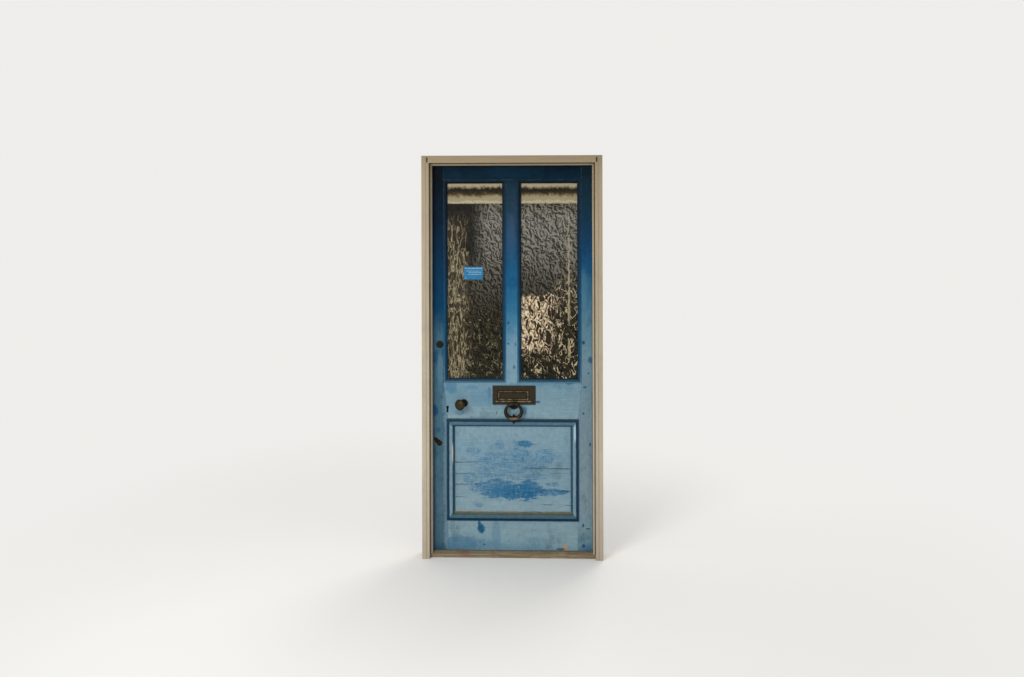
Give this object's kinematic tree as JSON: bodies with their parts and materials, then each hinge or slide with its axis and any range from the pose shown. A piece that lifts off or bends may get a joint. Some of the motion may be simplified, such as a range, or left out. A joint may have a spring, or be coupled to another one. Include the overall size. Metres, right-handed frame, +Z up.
{
  "type": "half-glazed panelled front door with frame",
  "caption": "Inward-opening panelled front door with glazed upper half, letter plate, ring knocker, knob and locks, hung on butt hinges in its beaded timber frame with sill.",
  "frame": {"origin": "underside of the sill, at the middle of its length and of the frame's depth", "axes": "+X to the right as seen from outside, +Y towards the inside of the house, +Z up"},
  "size_m": [0.918, 0.1882, 2.048],
  "materials": {
    "leaf_paint": "weathered blue gloss paint on softwood, chalked low down",
    "frame_paint": "cream paint on softwood",
    "weathered_timber": "bare weathered timber",
    "obscured_glass": "obscured rippled glass",
    "dark_bronze": "dark tarnished bronze",
    "rusty_iron": "rusted iron",
    "worn_steel": "dull worn steel",
    "black_japan": "black stoved paint"
  },
  "bodies": {
    "frame": {"jamb_lock_side": "frame_paint", "jamb_hinge_side": "frame_paint", "frame_head": "frame_paint", "frame_stops": "frame_paint", "sill": "weathered_timber", "hinge_top_frame_flap": "worn_steel", "hinge_middle_frame_flap": "worn_steel", "hinge_bottom_frame_flap": "worn_steel", "hinge_top_pin": "worn_steel", "hinge_middle_pin": "worn_steel", "hinge_bottom_pin": "worn_steel", "hinge_frame_screws": "worn_steel", "rim_lock_keep": "black_japan", "night_latch_keep": "black_japan", "deadlock_strike": "worn_steel"},
    "leaf": {"stile_lock_side": "leaf_paint", "stile_hinge_side": "leaf_paint", "top_rail": "leaf_paint", "lock_rail": "leaf_paint", "bottom_rail": "leaf_paint", "glazing_bar": "leaf_paint", "lower_panel": "leaf_paint", "panel_moulding_left": "leaf_paint", "panel_moulding_right": "leaf_paint", "panel_moulding_bottom": "leaf_paint", "panel_moulding_top": "leaf_paint", "panel_inner_mouldings": "leaf_paint", "glazing_mouldings_left": "leaf_paint", "glazing_mouldings_right": "leaf_paint", "glazing_beads_left": "leaf_paint", "glazing_beads_right": "leaf_paint", "glass_left": "obscured_glass", "glass_right": "obscured_glass", "hinge_top_leaf_flap": "worn_steel", "hinge_middle_leaf_flap": "worn_steel", "hinge_bottom_leaf_flap": "worn_steel", "hinge_leaf_screws": "worn_steel", "letter_plate": "dark_bronze", "letter_flap_pin": "dark_bronze", "letter_plate_bolts": "dark_bronze", "knocker_boss": "dark_bronze", "knocker_strike": "dark_bronze", "knob_rose": "dark_bronze", "rim_lock_case": "black_japan", "night_latch_cylinder": "dark_bronze", "night_latch_case": "black_japan", "deadlock_case": "worn_steel", "keyhole_cover_rivet": "rusty_iron"},
    "letter_flap": {"letter_flap": "dark_bronze"},
    "knocker_ring": {"knocker_ring": "dark_bronze"},
    "knob": {"outer_knob": "dark_bronze", "inner_knob": "dark_bronze", "knob_spindle": "worn_steel"},
    "rim_latch_bolt": {"rim_latch_bolt": "worn_steel"},
    "rim_dead_bolt": {"rim_dead_bolt": "worn_steel"},
    "night_latch_turn": {"night_latch_turn": "black_japan"},
    "night_latch_bolt": {"night_latch_bolt": "worn_steel"},
    "night_latch_plug": {"night_latch_plug": "dark_bronze"},
    "deadlock_bolt": {"deadlock_bolt": "worn_steel"},
    "keyhole_cover": {"keyhole_cover": "rusty_iron"}
  },
  "joints": [
    {"name": "leaf_swing", "type": "hinge", "parent": "frame", "child": "leaf", "pos_m": [0.4205, 0.0565, 1.05], "axis": [0, 0, -1], "range_deg": [0, 105]},
    {"name": "letter_flap_swing", "type": "hinge", "parent": "leaf", "child": "letter_flap", "pos_m": [0.004, 0.0065, 0.8408], "axis": [1, 0, 0], "range_deg": [0, 75], "stiffness_Nm_per_rad": 0.15, "springref_deg": -11.46},
    {"name": "knocker_lift", "type": "hinge", "parent": "leaf", "child": "knocker_ring", "pos_m": [0.006, -0.0215, 0.7815], "axis": [-1, 0, 0], "range_deg": [0, 95]},
    {"name": "knob_turn", "type": "hinge", "parent": "leaf", "child": "knob", "pos_m": [-0.25, 0, 0.78], "axis": [0, 1, 0], "range_deg": [0, 50]},
    {"name": "rim_latch_slide", "type": "slide", "parent": "leaf", "child": "rim_latch_bolt", "axis": [-1, 0, 0], "range_m": [0, 0.012]},
    {"name": "rim_dead_slide", "type": "slide", "parent": "leaf", "child": "rim_dead_bolt", "axis": [-1, 0, 0], "range_m": [0, 0.014]},
    {"name": "night_turn_swing", "type": "hinge", "parent": "leaf", "child": "night_latch_turn", "pos_m": [-0.353, 0.077, 1.081], "axis": [0, 1, 0], "range_deg": [0, 60]},
    {"name": "night_bolt_slide", "type": "slide", "parent": "leaf", "child": "night_latch_bolt", "axis": [-1, 0, 0], "range_m": [0, 0.013]},
    {"name": "night_plug_turn", "type": "hinge", "parent": "leaf", "child": "night_latch_plug", "pos_m": [-0.373, 0, 1.081], "axis": [0, 1, 0], "range_deg": [-90, 90]},
    {"name": "deadlock_bolt_slide", "type": "slide", "parent": "leaf", "child": "deadlock_bolt", "axis": [-1, 0, 0], "range_m": [0, 0.014]},
    {"name": "keyhole_cover_swing", "type": "hinge", "parent": "leaf", "child": "keyhole_cover", "pos_m": [-0.396, 0.003, 0.595], "axis": [0, -1, 0], "range_deg": [-36, 125]}
  ],
  "couplings": [
    {"joint": "rim_latch_slide", "follows": "knob_turn", "m_per_rad": 0.01374},
    {"joint": "night_bolt_slide", "follows": "night_turn_swing", "m_per_rad": 0.0124}
  ]
}
